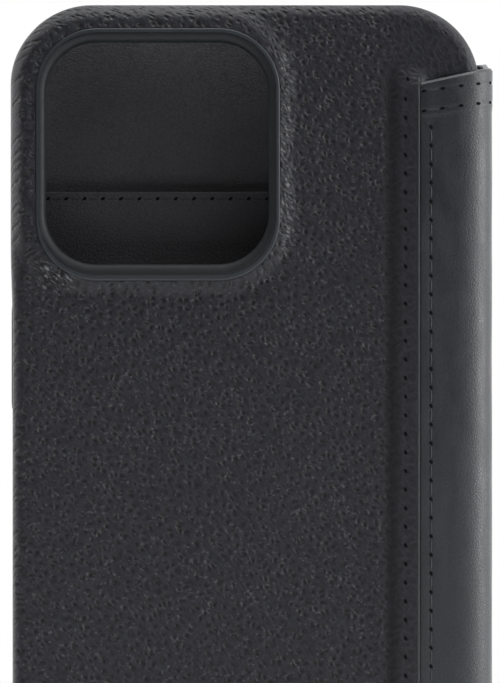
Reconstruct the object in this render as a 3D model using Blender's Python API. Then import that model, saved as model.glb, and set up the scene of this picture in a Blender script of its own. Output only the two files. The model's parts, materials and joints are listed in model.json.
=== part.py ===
"""Folio wallet case for a phone, closed and standing upright.

+Z runs up along the phone towards the camera end, the camera side faces -Y,
the front cover faces +Y and the spine is on +X. The origin is the centre of
the closed case's bottom. Depths are counted from the tray's back towards +Y.
"""
import math

import bmesh
import bpy

MM = 0.001

# The phone and the cards that the case is made for
PHONE_WIDTH = 71.5 * MM
PHONE_LENGTH = 146.7 * MM
PHONE_THICKNESS = 7.65 * MM
PHONE_CORNER = 10.9 * MM
CARD_WIDTH = 53.98 * MM
CARD_LENGTH = 85.6 * MM
CARD_ROOM = 0.85 * MM

# Fits and layers
GAP = 0.3 * MM                  # bond line or free gap between two pieces
PHONE_SIDE_FIT = 0.15 * MM
PHONE_BACK_FIT = 0.1 * MM
SKIN = 0.6 * MM                 # leather on the tray
SHELL_WALL = 1.0 * MM
SHELL_BACK = 1.1 * MM
LINING = 0.4 * MM
EDGE_ROUNDING = 2.0 * MM
TRAY_RIM = 0.6 * MM             # how far the tray stands above the screen
LIP_REACH = 0.35 * MM
LIP_FIT = 0.1 * MM
CORNER_STEPS = 8
EDGE_STEPS = 4

# Camera opening: distances from the tray's left and top edges
CAMERA_FROM_LEFT = 5.4 * MM
CAMERA_FROM_TOP = 6.05 * MM
CAMERA_WIDTH = 36.1 * MM
CAMERA_HEIGHT = 36.0 * MM
CAMERA_CORNER = 8.2 * MM
CAMERA_RIM = {"left": 1.45 * MM, "right": 1.85 * MM, "bottom": 2.7 * MM, "top": 2.1 * MM}
CAMERA_RIM_CORNER = 9.9 * MM
CAMERA_RIM_PROUD = 1.2 * MM
CAMERA_RIM_EDGE = 0.3 * MM      # small chamfer round the rim
CAMERA_RIM_DIP = 0.4 * MM       # depth of the rim's inner edge
CAMERA_NECK = 1.0 * MM          # wall that goes through the shell
COLLAR_RISE = 0.9 * MM
COLLAR_FLAT = 0.9 * MM
COLLAR_REACH = {"left": 1.9 * MM, "right": 3.2 * MM, "bottom": 3.2 * MM, "top": 1.9 * MM}
PAD_CLEAR = 0.45 * MM           # from the collar's sloping underside

# Side buttons and openings: distances from the tray's top edge
BUTTON_WIDTH = 3.4 * MM
BUTTON_PROUD = 0.3 * MM
BUTTON_TRAVEL = 0.35 * MM
BUTTON_REST = 0.45 * MM         # inner face of a cap to the phone's side
BUTTON_FLANGE = 0.5 * MM        # how far the hidden base stands past the cap
BUTTON_CHAMFER = 0.25 * MM
POWER = {"from_top": 57.0 * MM, "length": 17.0 * MM}
VOLUME_UP = {"from_top": 47.5 * MM, "length": 10.5 * MM}
VOLUME_DOWN = {"from_top": 61.5 * MM, "length": 10.5 * MM}
MUTE_WINDOW = {"from_top": 33.5 * MM, "length": 10.0 * MM, "width": 5.0 * MM}
PORT_WIDTH = 13.0 * MM
PORT_HEIGHT = 5.4 * MM
SPEAKER_WIDTH = 13.0 * MM
SPEAKER_HEIGHT = 3.0 * MM
SPEAKER_OFFSET = 19.5 * MM

# Seam of the spine on the tray's back
LIP_START = 15.0 * MM           # from the tray's spine side
LIP_EDGE = 10.0 * MM            # from the tray's spine side
LIP_RISE = 1.1 * MM
LIP_END = 11.3 * MM             # from the tray's top and bottom edges
SLIT_END = 12.3 * MM
SLIT_WIDTH = 2.0 * MM
FLAP_LEATHER = 0.7 * MM
FLAP_TONGUE = 0.6 * MM
FLAP_TONGUE_DEPTH = -0.1 * MM
FLAP_FIT = 0.3 * MM
FLAP_RAMP = 0.4 * MM
FLAP_END_AT_SLIT = 12.9 * MM    # from the tray's top and bottom edges
FLAP_END_AT_FOLD = 10.9 * MM

# Spine and cover
SPINE_LEATHER = 0.7 * MM
SPINE_LINING = 0.5 * MM
SPINE_FREE_GAP = 0.6 * MM       # tray side to spine
SPINE_END = 10.7 * MM
FOLD_STEPS = 5
COVER_LEATHER = 0.7 * MM
COVER_BOARD = 0.8 * MM
COVER_EDGE_ROUNDING = 0.5 * MM
POCKET_LEATHER = 0.4 * MM
CASH_ROOM = 0.5 * MM
POCKET_INSET = 2.7 * MM         # card pockets from the cover's free edge
POCKET_SEAM = 2.0 * MM          # sewn margin of a pocket
POCKET_CORNER = 1.5 * MM
CARD_FIT = 0.7 * MM             # at each end of a card
CARD_GRIP = 8.0 * MM            # how far a card stands out of its pocket
CARD_STEP = 6.0 * MM            # each pocket's mouth past the next
CASH_MOUTH = 5.0 * MM
MAGNET_DIAMETER = 9.0 * MM
MAGNET_THICKNESS = 0.8 * MM
MAGNET_FROM_EDGE = 8.0 * MM
MAGNET_SPACING = 92.0 * MM

# Depths of the tray's layers
SHELL_OUT = SKIN + GAP
SHELL_IN = SHELL_OUT + SHELL_BACK
LINING_OUT = SHELL_IN + GAP
LINING_IN = LINING_OUT + LINING
PHONE_BACK = LINING_IN + PHONE_BACK_FIT
PHONE_FRONT = PHONE_BACK + PHONE_THICKNESS
PHONE_MIDDLE = (PHONE_BACK + PHONE_FRONT) / 2
TRAY_DEPTH = PHONE_FRONT + TRAY_RIM

# Depths of the cover's layers, from the screen outwards
CARD_PITCH = POCKET_LEATHER + CARD_ROOM
COVER_IN = TRAY_DEPTH + GAP
CASH_IN = COVER_IN + 3 * CARD_PITCH
COVER_LINING_IN = CASH_IN + POCKET_LEATHER + CASH_ROOM
BOARD_IN = COVER_LINING_IN + LINING + GAP
COVER_LEATHER_IN = BOARD_IN + COVER_BOARD + GAP
COVER_FRONT = COVER_LEATHER_IN + COVER_LEATHER

# Outline of the tray, and the folds
WALL = PHONE_SIDE_FIT + SHELL_WALL + GAP + SKIN
TRAY_WIDTH = PHONE_WIDTH + 2 * WALL
TRAY_LENGTH = PHONE_LENGTH + 2 * WALL
TRAY_CORNER = PHONE_CORNER + WALL
SHELL_INSET = SKIN + GAP
SPINE_THICKNESS = SPINE_LEATHER + GAP + SPINE_LINING
FOLD_RADIUS = SPINE_THICKNESS / 2
TOTAL_WIDTH = TRAY_WIDTH + SPINE_FREE_GAP + SPINE_THICKNESS     # without the power button
LEFT = (BUTTON_PROUD - TOTAL_WIDTH) / 2
RIGHT = LEFT + TRAY_WIDTH
TRAY_X = LEFT + TRAY_WIDTH / 2
MIDDLE_Z = TRAY_LENGTH / 2
BACK_Y = -(COVER_FRONT + CAMERA_RIM_PROUD) / 2 + CAMERA_RIM_PROUD
SEAM_START = RIGHT - LIP_START
SEAM = RIGHT - LIP_EDGE
FOLD_X = RIGHT + SPINE_FREE_GAP + FOLD_RADIUS
SPINE_FOLD_DEPTH = FOLD_RADIUS - CAMERA_RIM_PROUD
COVER_FOLD_DEPTH = COVER_FRONT - FOLD_RADIUS
FOLD_SIDE = FOLD_X - FOLD_RADIUS - GAP      # where flap and cover stop short of a fold
FAR = 5 * MM                    # cutters run this far past what they cut

LEATHER_PEBBLED = ("pebbled_leather", (0.036, 0.036, 0.042, 1), 0.55, 0)
LEATHER_SMOOTH = ("smooth_leather", (0.026, 0.029, 0.033, 1), 0.45, 0)
LEATHER_POCKET = ("pocket_leather", (0.04, 0.04, 0.045, 1), 0.5, 0)
MOULDED_BLACK = ("moulded_black", (0.012, 0.014, 0.016, 1), 0.4, 0)
MOULDED_RIM = ("moulded_rim", (0.014, 0.019, 0.023, 1), 0.35, 0)
MICROFIBRE = ("microfibre", (0.05, 0.052, 0.056, 1), 0.9, 0)
FOAM = ("foam", (0.08, 0.08, 0.08, 1), 0.95, 0)
FIBREBOARD = ("fibreboard", (0.2, 0.17, 0.13, 1), 0.85, 0)
MAGNET_METAL = ("magnet_nickel", (0.6, 0.6, 0.58, 1), 0.3, 1)


def clear_scene():
    for obj in list(bpy.data.objects):
        bpy.data.objects.remove(obj)


def finish_of(finish, piece):
    """A piece's own material, in one of the finishes above."""
    name, colour, roughness, metallic = finish
    material = bpy.data.materials.new(f"{piece}_{name}")
    material.use_nodes = True
    shader = material.node_tree.nodes["Principled BSDF"]
    shader.inputs["Base Color"].default_value = colour
    shader.inputs["Roughness"].default_value = roughness
    shader.inputs["Metallic"].default_value = metallic
    material.diffuse_color = colour
    return material


def solid(name, loops, finish=None, ring=False):
    """A closed body skinned over loops of points; the ends are capped unless it is a ring."""
    mesh = bpy.data.meshes.new(name)
    shape = bmesh.new()
    rows = [[shape.verts.new(point) for point in loop] for loop in loops]
    pairs = list(zip(rows, rows[1:]))
    if ring:
        pairs.append((rows[-1], rows[0]))
    else:
        shape.faces.new(rows[0])
        shape.faces.new(rows[-1])
    for low, high in pairs:
        for i in range(len(low)):
            j = (i + 1) % len(low)
            shape.faces.new((low[i], low[j], high[j], high[i]))
    bmesh.ops.recalc_face_normals(shape, faces=shape.faces)
    shape.to_mesh(mesh)
    shape.free()
    obj = bpy.data.objects.new(name, mesh)
    bpy.context.scene.collection.objects.link(obj)
    if finish:
        mesh.materials.append(finish_of(finish, name))
        mesh.shade_smooth()
        mesh.set_sharp_from_angle(angle=math.radians(30))
    return obj


def rounded(u, v, width, height, radius):
    """Points round a rounded rectangle centred on (u, v), each one once."""
    points = []
    for quarter, (side_u, side_v) in enumerate(((1, 1), (-1, 1), (-1, -1), (1, -1))):
        centre_u = u + side_u * (width / 2 - radius)
        centre_v = v + side_v * (height / 2 - radius)
        for step in range(CORNER_STEPS + 1):
            angle = math.radians(90 * (quarter + step / CORNER_STEPS))
            point = (centre_u + radius * math.cos(angle), centre_v + radius * math.sin(angle))
            if not points or min(math.dist(point, points[0]), math.dist(point, points[-1])) > MM / 1000:
                points.append(point)
    return points


def place(axis, along, u, v):
    return {"X": (along, u, v), "Y": (u, along, v), "Z": (u, v, along)}[axis]


def loft(name, axis, levels, finish=None, ring=False):
    """A body skinned over rounded rectangles: (position along axis, u, v, width, height, radius)."""
    loops = []
    for along, *outline in levels:
        loops.append([place(axis, along, u, v) for u, v in rounded(*outline)])
    return solid(name, loops, finish, ring)


def block(name, axis, span, outline, finish=None):
    """A straight rounded block between two positions along an axis."""
    return loft(name, axis, [(along, *outline) for along in span], finish)


def depth(value):
    return BACK_Y + value


def as_cutter(obj):
    obj.hide_render = True
    obj.display_type = "WIRE"
    return obj


def combine(target, tool, operation="DIFFERENCE"):
    as_cutter(tool)
    modifier = target.modifiers.new(f"{operation.lower()}_{tool.name}", "BOOLEAN")
    modifier.operation = operation
    modifier.solver = "EXACT"
    modifier.object = tool


def tray_level(at, inset):
    """The tray's outline, drawn in by inset, at a depth."""
    size = (TRAY_WIDTH - 2 * inset, TRAY_LENGTH - 2 * inset, TRAY_CORNER - inset)
    return (depth(at), TRAY_X, MIDDLE_Z, *size)


def cover_level(at, inset):
    """The cover's outline, drawn in by inset, at a depth."""
    width = FOLD_SIDE - LEFT
    size = (width - 2 * inset, TRAY_LENGTH - 2 * inset, TRAY_CORNER - inset)
    return (depth(at), LEFT + width / 2, MIDDLE_Z, *size)


def rounded_edge(at, inset, radius, reverse=False):
    """Levels round the tray's back edge, from the flat back to the side wall."""
    levels = []
    for step in range(EDGE_STEPS + 1):
        angle = math.radians(90 * step / EDGE_STEPS)
        level = tray_level(at + radius * (1 - math.cos(angle)), inset + radius * (1 - math.sin(angle)))
        levels.append(level)
    return levels[::-1] if reverse else levels


def camera_level(at, left, right, bottom, top, radius):
    """The camera opening's outline, grown on each side, at a depth."""
    low_x = LEFT + CAMERA_FROM_LEFT - left
    high_x = LEFT + CAMERA_FROM_LEFT + CAMERA_WIDTH + right
    high_z = TRAY_LENGTH - CAMERA_FROM_TOP + top
    low_z = TRAY_LENGTH - CAMERA_FROM_TOP - CAMERA_HEIGHT - bottom
    centre = ((low_x + high_x) / 2, (low_z + high_z) / 2)
    return (depth(at), *centre, high_x - low_x, high_z - low_z, radius)


def hole_level(at, grow):
    return camera_level(at, grow, grow, grow, grow, CAMERA_CORNER + grow)


def rim_level(at, grow, reach=None):
    """The camera rim's outline, grown evenly and by a reach on each side."""
    sides = []
    for side in ("left", "right", "bottom", "top"):
        sides.append(CAMERA_RIM[side] + grow + (reach[side] if reach else 0))
    extra = min(reach.values()) if reach else 0
    return camera_level(at, *sides, CAMERA_RIM_CORNER + grow + extra)


def make_tray_shell():
    inner = SHELL_INSET + SHELL_WALL
    lip = inner + LIP_REACH
    levels = rounded_edge(SHELL_OUT, SHELL_INSET, EDGE_ROUNDING - SHELL_INSET)
    levels += [
        tray_level(TRAY_DEPTH, SHELL_INSET),
        tray_level(TRAY_DEPTH, lip),
        tray_level(PHONE_FRONT + LIP_FIT, lip),
        tray_level(PHONE_FRONT + LIP_FIT - LIP_REACH, inner),
        tray_level(SHELL_IN, inner),
    ]
    return loft("tray_shell", "Y", levels, MOULDED_BLACK)


def make_back_leather():
    """The tray's skin: walls, raised collar and lip, with the space under them taken out."""
    levels = rounded_edge(0, 0, EDGE_ROUNDING)
    levels += [tray_level(TRAY_DEPTH, 0), tray_level(TRAY_DEPTH, SKIN)]
    levels += rounded_edge(SKIN, SKIN, EDGE_ROUNDING - SKIN, reverse=True)
    leather = loft("back_leather", "Y", levels, LEATHER_PEBBLED)

    collar = [
        rim_level(SKIN / 2, 0, COLLAR_REACH),
        rim_level(0, 0, COLLAR_REACH),
        rim_level(-COLLAR_RISE, COLLAR_FLAT),
    ]
    combine(leather, loft("collar_form", "Y", collar), "UNION")
    lip_outline = ((SEAM_START + SEAM) / 2, MIDDLE_Z, LIP_START - LIP_EDGE, TRAY_LENGTH - 2 * LIP_END)
    lip_span = (depth(-LIP_RISE), depth(SKIN / 2))
    combine(leather, block("lip_form", "Y", lip_span, (*lip_outline, GAP)), "UNION")

    under_collar = [
        rim_level(SKIN + GAP / 2, -SKIN / 2, COLLAR_REACH),
        rim_level(SKIN, -SKIN / 2, COLLAR_REACH),
        rim_level(SKIN - COLLAR_RISE, COLLAR_FLAT - SKIN / 2),
    ]
    combine(leather, loft("collar_hollow", "Y", under_collar))
    start = SEAM_START + SKIN
    end = SEAM + SLIT_WIDTH
    slit = ((start + end) / 2, MIDDLE_Z, end - start, TRAY_LENGTH - 2 * SLIT_END, GAP)
    span = (depth(SKIN - LIP_RISE), depth(SKIN + GAP / 2))
    combine(leather, block("slit_cutter", "Y", span, slit))
    opening = [rim_level(-FAR, GAP), rim_level(SKIN + GAP / 2, GAP)]
    combine(leather, loft("camera_leather_cutter", "Y", opening))
    return leather


def make_camera_parts(shell):
    neck_span = (depth(-FAR), depth(LINING_IN + GAP / 2))
    neck = hole_level(0, CAMERA_NECK + GAP)[1:]
    neck_cutter = block("camera_neck_cutter", "Y", neck_span, neck)
    combine(shell, neck_cutter)

    rim = [
        rim_level(SKIN, 0),
        rim_level(-CAMERA_RIM_PROUD + CAMERA_RIM_EDGE, 0),
        rim_level(-CAMERA_RIM_PROUD, -CAMERA_RIM_EDGE),
        rim_level(-CAMERA_RIM_PROUD, -2 * CAMERA_RIM_EDGE),
        hole_level(CAMERA_RIM_DIP, 0),
        hole_level(LINING_IN, 0),
        hole_level(LINING_IN, CAMERA_NECK),
        hole_level(SKIN, CAMERA_NECK),
    ]
    loft("camera_rim", "Y", rim, MOULDED_RIM, ring=True)

    pad_low = SKIN - COLLAR_RISE + PAD_CLEAR
    inner = 2 * GAP
    pad = [
        rim_level(SKIN, inner),
        rim_level(pad_low, inner),
        rim_level(pad_low, inner + GAP),
        rim_level(SKIN, -PAD_CLEAR - SKIN / 2, COLLAR_REACH),
    ]
    loft("camera_pad", "Y", pad, FOAM, ring=True)

    lining_fit = SHELL_INSET + SHELL_WALL + GAP
    levels = [tray_level(LINING_OUT, lining_fit), tray_level(LINING_IN, lining_fit)]
    lining = loft("tray_lining", "Y", levels, MICROFIBRE)
    combine(lining, neck_cutter)


def side_outline(from_top, length, width, grow):
    """A slot's outline in a side wall, as loft and block take it along X."""
    size = (width + 2 * grow, length + 2 * grow, width / 2 + grow)
    return (depth(PHONE_MIDDLE), TRAY_LENGTH - from_top, *size)


def make_button(name, side, button, shell, leather):
    """A cap that shows through the leather, on a wider base that the leather keeps in."""
    phone_side = PHONE_WIDTH / 2
    wall_out = TRAY_WIDTH / 2 - SHELL_INSET
    face = TRAY_WIDTH / 2 + BUTTON_PROUD
    place_on = (button["from_top"], button["length"], BUTTON_WIDTH)
    steps = [
        (phone_side + BUTTON_REST, BUTTON_FLANGE),
        (wall_out, BUTTON_FLANGE),
        (wall_out, 0),
        (face - BUTTON_CHAMFER, 0),
        (face, -BUTTON_CHAMFER),
    ]
    levels = [(TRAY_X + side * out, *side_outline(*place_on, grow)) for out, grow in steps]
    loft(name, "X", levels, MOULDED_BLACK)
    inside = TRAY_X + side * (phone_side - GAP)
    outside = TRAY_X + side * (TRAY_WIDTH / 2 + GAP)
    between = TRAY_X + side * (wall_out + GAP / 2)
    base_window = side_outline(*place_on, BUTTON_FLANGE + GAP)
    cap_window = side_outline(*place_on, GAP)
    combine(shell, block(f"{name}_base_cutter", "X", sorted((inside, between)), base_window))
    combine(leather, block(f"{name}_cap_cutter", "X", sorted((between, outside)), cap_window))


def cut_windows(shell, leather):
    """Mute switch window, charging port and speaker slots, through shell and leather."""
    cutters = []
    slots = {
        "port": (0, PORT_WIDTH, PORT_HEIGHT),
        "speaker": (-SPEAKER_OFFSET, SPEAKER_WIDTH, SPEAKER_HEIGHT),
        "microphone": (SPEAKER_OFFSET, SPEAKER_WIDTH, SPEAKER_HEIGHT),
    }
    for name, (offset, width, height) in slots.items():
        outline = (TRAY_X + offset, depth(PHONE_MIDDLE), width, height, height / 2)
        cutters.append(block(f"{name}_cutter", "Z", (-GAP, WALL + GAP), outline))
    outline = side_outline(MUTE_WINDOW["from_top"], MUTE_WINDOW["length"], MUTE_WINDOW["width"], 0)
    span = (TRAY_X + PHONE_WIDTH / 2 - GAP, RIGHT + GAP)
    cutters.append(block("mute_cutter", "X", span, outline))
    for cutter in cutters:
        combine(shell, cutter)
        combine(leather, cutter)


def make_spine_flap():
    """Spine leather on the tray's back: a tongue under the lip that comes out through the slit."""
    tongue_start = SEAM_START + SKIN + FLAP_FIT
    rise = SEAM + FLAP_FIT
    out = -GAP - FLAP_LEATHER
    leg_out = SEAM + SLIT_WIDTH - FLAP_FIT
    tongue_in = FLAP_TONGUE_DEPTH + FLAP_TONGUE
    section = [
        (tongue_start, FLAP_TONGUE_DEPTH),
        (rise, FLAP_TONGUE_DEPTH),
        (rise + FLAP_RAMP, out),
        (FOLD_SIDE, out),
        (FOLD_SIDE, -GAP),
        (leg_out, -GAP),
        (leg_out - FLAP_FIT, tongue_in),
        (tongue_start, tongue_in),
    ]
    slope = (FLAP_END_AT_FOLD - FLAP_END_AT_SLIT) / (FOLD_SIDE - SEAM)
    low, high = [], []
    for x, at in section:
        end = FLAP_END_AT_SLIT + slope * (x - SEAM)
        low.append((x, depth(at), end))
        high.append((x, depth(at), TRAY_LENGTH - end))
    solid("spine_flap", [low, high], LEATHER_SMOOTH)


def fold_arc(fold_depth, start_x, end_x, towards):
    """Points on the round end of the spine, about a fold, between two distances from its axis."""
    start = math.asin(start_x / FOLD_RADIUS)
    end = math.asin(end_x / FOLD_RADIUS)
    points = []
    for step in range(FOLD_STEPS + 1):
        angle = start + (end - start) * step / FOLD_STEPS
        at = fold_depth + towards * FOLD_RADIUS * math.cos(angle)
        points.append((FOLD_X + FOLD_RADIUS * math.sin(angle), at))
    return points


def make_spine_layer(name, inner, outer, finish, fold):
    """A layer of the spine between two distances from the folds' plane."""
    section = fold_arc(SPINE_FOLD_DEPTH, inner, outer, -1) + fold_arc(COVER_FOLD_DEPTH, outer, inner, 1)
    loops = [[(x, depth(at), z) for x, at in section] for z in (SPINE_END, TRAY_LENGTH - SPINE_END)]
    ride(solid(name, loops, finish), fold)


def fold_axis(name, at, parent=None):
    """An empty on a fold's axis."""
    axis = bpy.data.objects.new(name, None)
    bpy.context.scene.collection.objects.link(axis)
    axis.location = (FOLD_X, depth(at), MIDDLE_Z)
    if parent:
        axis.parent = parent
        axis.location = axis.location - parent.location
    return axis


def ride(obj, axis):
    """Hangs a piece on a fold's axis without moving it."""
    obj.parent = axis
    at = axis.location.copy()
    if axis.parent:
        at += axis.parent.location
    obj.location = -at


def make_cover(fold):
    edge = COVER_EDGE_ROUNDING
    inside = COVER_LEATHER + GAP
    leather_levels = [
        cover_level(COVER_FRONT, edge),
        cover_level(COVER_FRONT - edge * (1 - math.sqrt(0.5)), edge * (1 - math.sqrt(0.5))),
        cover_level(COVER_FRONT - edge, 0),
        cover_level(CASH_IN, 0),
        cover_level(CASH_IN, COVER_LEATHER),
        cover_level(COVER_LEATHER_IN, COVER_LEATHER),
    ]
    leather = loft("cover_leather", "Y", leather_levels, LEATHER_SMOOTH)
    board_levels = [cover_level(BOARD_IN + part, inside) for part in (0, COVER_BOARD)]
    board = loft("cover_board", "Y", board_levels, FIBREBOARD)
    lining_levels = [cover_level(COVER_LINING_IN + part, inside) for part in (0, LINING)]
    lining = loft("cover_lining", "Y", lining_levels, MICROFIBRE)
    for name, side in (("closure_magnet_upper", 1), ("closure_magnet_lower", -1)):
        centre = (LEFT + MAGNET_FROM_EDGE, MIDDLE_Z + side * MAGNET_SPACING / 2)
        disc = (*centre, MAGNET_DIAMETER, MAGNET_DIAMETER, MAGNET_DIAMETER / 2)
        hole = (*centre, MAGNET_DIAMETER + 2 * GAP, MAGNET_DIAMETER + 2 * GAP, MAGNET_DIAMETER / 2 + GAP)
        span = (depth(BOARD_IN), depth(BOARD_IN + MAGNET_THICKNESS))
        ride(block(name, "Y", span, disc, MAGNET_METAL), fold)
        through = (depth(BOARD_IN - GAP / 2), depth(BOARD_IN + COVER_BOARD + GAP / 2))
        combine(board, block(f"{name}_cutter", "Y", through, hole))
    for piece in (leather, board, lining):
        ride(piece, fold)


def make_cash_pocket(fold):
    """A slip pocket over the whole lining, open towards the spine."""
    inside = COVER_LEATHER + GAP
    levels = [cover_level(CASH_IN, inside), cover_level(COVER_LINING_IN - GAP, inside)]
    pocket = loft("cash_pocket", "Y", levels, LEATHER_POCKET)
    seam = inside + POCKET_SEAM
    mouth = FOLD_SIDE - inside - CASH_MOUTH
    room_end = FOLD_SIDE + FAR
    room_start = LEFT + seam
    room_corner = TRAY_CORNER - seam
    room = ((room_start + room_end) / 2, MIDDLE_Z, room_end - room_start, TRAY_LENGTH - 2 * seam, room_corner)
    room_span = (depth(CASH_IN + POCKET_LEATHER), depth(COVER_LINING_IN))
    combine(pocket, block("cash_room_cutter", "Y", room_span, room))
    trim = ((mouth + room_end) / 2, MIDDLE_Z, room_end - mouth, TRAY_LENGTH, GAP)
    trim_span = (depth(CASH_IN - GAP / 2), depth(COVER_LINING_IN))
    combine(pocket, block("cash_mouth_cutter", "Y", trim_span, trim))
    ride(pocket, fold)


def make_card_pockets(fold):
    """Three stepped pockets, open towards the spine, sewn round the other three sides."""
    start = LEFT + POCKET_INSET
    room_height = CARD_LENGTH + 2 * CARD_FIT
    for order, name in enumerate(("card_pocket_outer", "card_pocket_middle", "card_pocket_inner")):
        near = COVER_IN + order * CARD_PITCH
        floor = start + POCKET_SEAM + order * CARD_STEP
        mouth = floor + CARD_WIDTH - CARD_GRIP
        outline = ((start + mouth) / 2, MIDDLE_Z, mouth - start, room_height + 2 * POCKET_SEAM, POCKET_CORNER)
        far = near + CARD_PITCH - GAP
        pocket = block(name, "Y", (depth(near), depth(far)), outline, LEATHER_POCKET)
        room_end = mouth + FAR
        room = ((floor + room_end) / 2, MIDDLE_Z, room_end - floor, room_height, GAP)
        span = (depth(near + POCKET_LEATHER), depth(far + GAP / 2))
        combine(pocket, block(f"{name}_room_cutter", "Y", span, room))
        ride(pocket, fold)


def build():
    clear_scene()
    shell = make_tray_shell()
    leather = make_back_leather()
    make_camera_parts(shell)
    make_button("power_button", -1, POWER, shell, leather)
    make_button("volume_up_button", 1, VOLUME_UP, shell, leather)
    make_button("volume_down_button", 1, VOLUME_DOWN, shell, leather)
    cut_windows(shell, leather)
    make_spine_flap()
    spine_fold = fold_axis("spine_fold_axis", SPINE_FOLD_DEPTH)
    cover_fold = fold_axis("cover_fold_axis", COVER_FOLD_DEPTH, spine_fold)
    leather_from = FOLD_RADIUS - SPINE_LEATHER
    make_spine_layer("spine_leather", leather_from, FOLD_RADIUS, LEATHER_SMOOTH, spine_fold)
    lining_to = SPINE_LINING - FOLD_RADIUS
    make_spine_layer("spine_lining", -FOLD_RADIUS, lining_to, MICROFIBRE, spine_fold)
    make_cover(cover_fold)
    make_cash_pocket(cover_fold)
    make_card_pockets(cover_fold)


build()
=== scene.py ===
import json
import math

import bpy
import numpy as np
from mathutils import Matrix, Vector, noise


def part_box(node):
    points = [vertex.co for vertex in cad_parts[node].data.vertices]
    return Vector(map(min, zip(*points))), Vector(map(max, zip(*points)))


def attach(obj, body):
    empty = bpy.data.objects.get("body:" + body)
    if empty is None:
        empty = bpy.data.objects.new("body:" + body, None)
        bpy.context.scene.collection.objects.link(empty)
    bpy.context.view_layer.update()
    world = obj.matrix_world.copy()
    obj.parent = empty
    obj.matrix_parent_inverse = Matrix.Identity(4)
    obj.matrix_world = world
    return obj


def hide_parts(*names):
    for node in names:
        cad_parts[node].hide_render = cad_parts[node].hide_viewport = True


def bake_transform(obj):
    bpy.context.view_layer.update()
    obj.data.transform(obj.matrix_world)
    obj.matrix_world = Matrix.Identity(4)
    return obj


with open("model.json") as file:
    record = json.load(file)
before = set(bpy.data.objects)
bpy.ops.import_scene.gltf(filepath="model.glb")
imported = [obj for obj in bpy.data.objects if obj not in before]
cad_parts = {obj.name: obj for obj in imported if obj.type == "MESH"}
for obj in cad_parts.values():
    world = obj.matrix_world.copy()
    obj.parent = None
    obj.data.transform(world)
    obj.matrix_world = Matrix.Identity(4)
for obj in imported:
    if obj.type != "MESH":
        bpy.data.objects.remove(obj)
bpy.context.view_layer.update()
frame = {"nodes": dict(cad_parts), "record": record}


# ---------------------------------------------------------------------------
# Studio. A pale round board on a white sweep that glows behind the case
# and is dark in front of it. Soft lamps above and at both sides draw the dark
# leather's edges in light.
# ---------------------------------------------------------------------------
MM = 0.001
mounts = {mount["name"]: mount["pos_m"] for mount in frame["record"]["mounts"]}
leather_low, leather_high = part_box("back_leather")
LEFT, RIGHT, LENGTH = leather_low[0], leather_high[0], leather_high[2]
MIDDLE = LENGTH / 2
BACK = mounts["back_face"][1]          # the tray's flat back; depths are counted from it

CAMERA_DISTANCE = 0.6
VIEW_HEIGHT = 110.3 * MM               # what the camera takes in at the tray's back
SENSOR = 36
aim = Vector((LEFT + 38.5 * MM, BACK, LENGTH - 54.5 * MM))
bpy.ops.object.camera_add(location=aim - Vector((0, CAMERA_DISTANCE, 0)), rotation=(math.radians(90), 0, 0))
camera = bpy.context.object
camera.data.sensor_fit = "AUTO"
camera.data.sensor_width = SENSOR
camera.data.lens = SENSOR * CAMERA_DISTANCE / VIEW_HEIGHT
camera.data.clip_start = 0.01
bpy.context.scene.camera = camera

world = bpy.data.worlds.new("white_sweep")
bpy.context.scene.world = world
world.use_nodes = True
sky, joins = world.node_tree.nodes, world.node_tree.links
surround = sky["Background"]
direction = sky.new("ShaderNodeTexCoord")
towards_glow = sky.new("ShaderNodeVectorMath")
towards_glow.operation = "DOT_PRODUCT"
towards_glow.inputs[1].default_value = (0.42, 1, 0.25)
slope = sky.new("ShaderNodeMapRange")
slope.interpolation_type = "SMOOTHSTEP"
for name, value in {"From Min": -0.98, "From Max": 0.3, "To Min": 0.0, "To Max": 2.2}.items():
    slope.inputs[name].default_value = value
backdrop = sky.new("ShaderNodeBackground")
seen = sky.new("ShaderNodeLightPath")
blend_sky = sky.new("ShaderNodeMixShader")
joins.new(direction.outputs["Generated"], towards_glow.inputs[0])
joins.new(towards_glow.outputs["Value"], slope.inputs["Value"])
joins.new(slope.outputs[0], surround.inputs["Strength"])
joins.new(seen.outputs["Is Camera Ray"], blend_sky.inputs[0])
joins.new(surround.outputs[0], blend_sky.inputs[1])
joins.new(backdrop.outputs[0], blend_sky.inputs[2])
joins.new(blend_sky.outputs[0], sky["World Output"].inputs["Surface"])
for light in (surround, backdrop):
    light.inputs["Color"].default_value = (1, 1, 1, 1)

LAMPS = {                              # place, size in metres, and power in watts
    "lamp_right": ((2.0, -0.4, 0.4), (0.5, 1.6), 41),
    "lamp_left": ((-1.9, 0.5, 0.6), (0.6, 1.6), 10),
    "lamp_top": ((0.1, -0.22, 2.0), (1.6, 0.7), 27),
    "lamp_front": ((-0.9, -1.9, 1.2), (0.9, 0.9), 1.2),
}
for name, (place, size, power) in LAMPS.items():
    bpy.ops.object.light_add(type="AREA", location=place)
    lamp = bpy.context.object
    lamp.name = name
    lamp.data.shape = "RECTANGLE"
    lamp.data.size, lamp.data.size_y = size
    lamp.data.energy = power
    lamp.rotation_euler = (Vector((0, 0, MIDDLE)) - Vector(place)).to_track_quat("-Z", "Y").to_euler()

bpy.ops.object.select_all(action="DESELECT")
bpy.ops.mesh.primitive_circle_add(vertices=96, radius=0.42, fill_type="NGON")
board_floor = bpy.context.object
board_floor.name = "studio_floor"
paint = bpy.data.materials.new("pale_floor")
paint.use_nodes = True
paint_shader = paint.node_tree.nodes["Principled BSDF"].inputs
paint_shader["Base Color"].default_value = (0.82, 0.82, 0.82, 1)
paint_shader["Roughness"].default_value = 0.7
board_floor.data.materials.append(paint)
bpy.context.scene.view_settings.view_transform = "Standard"


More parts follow.
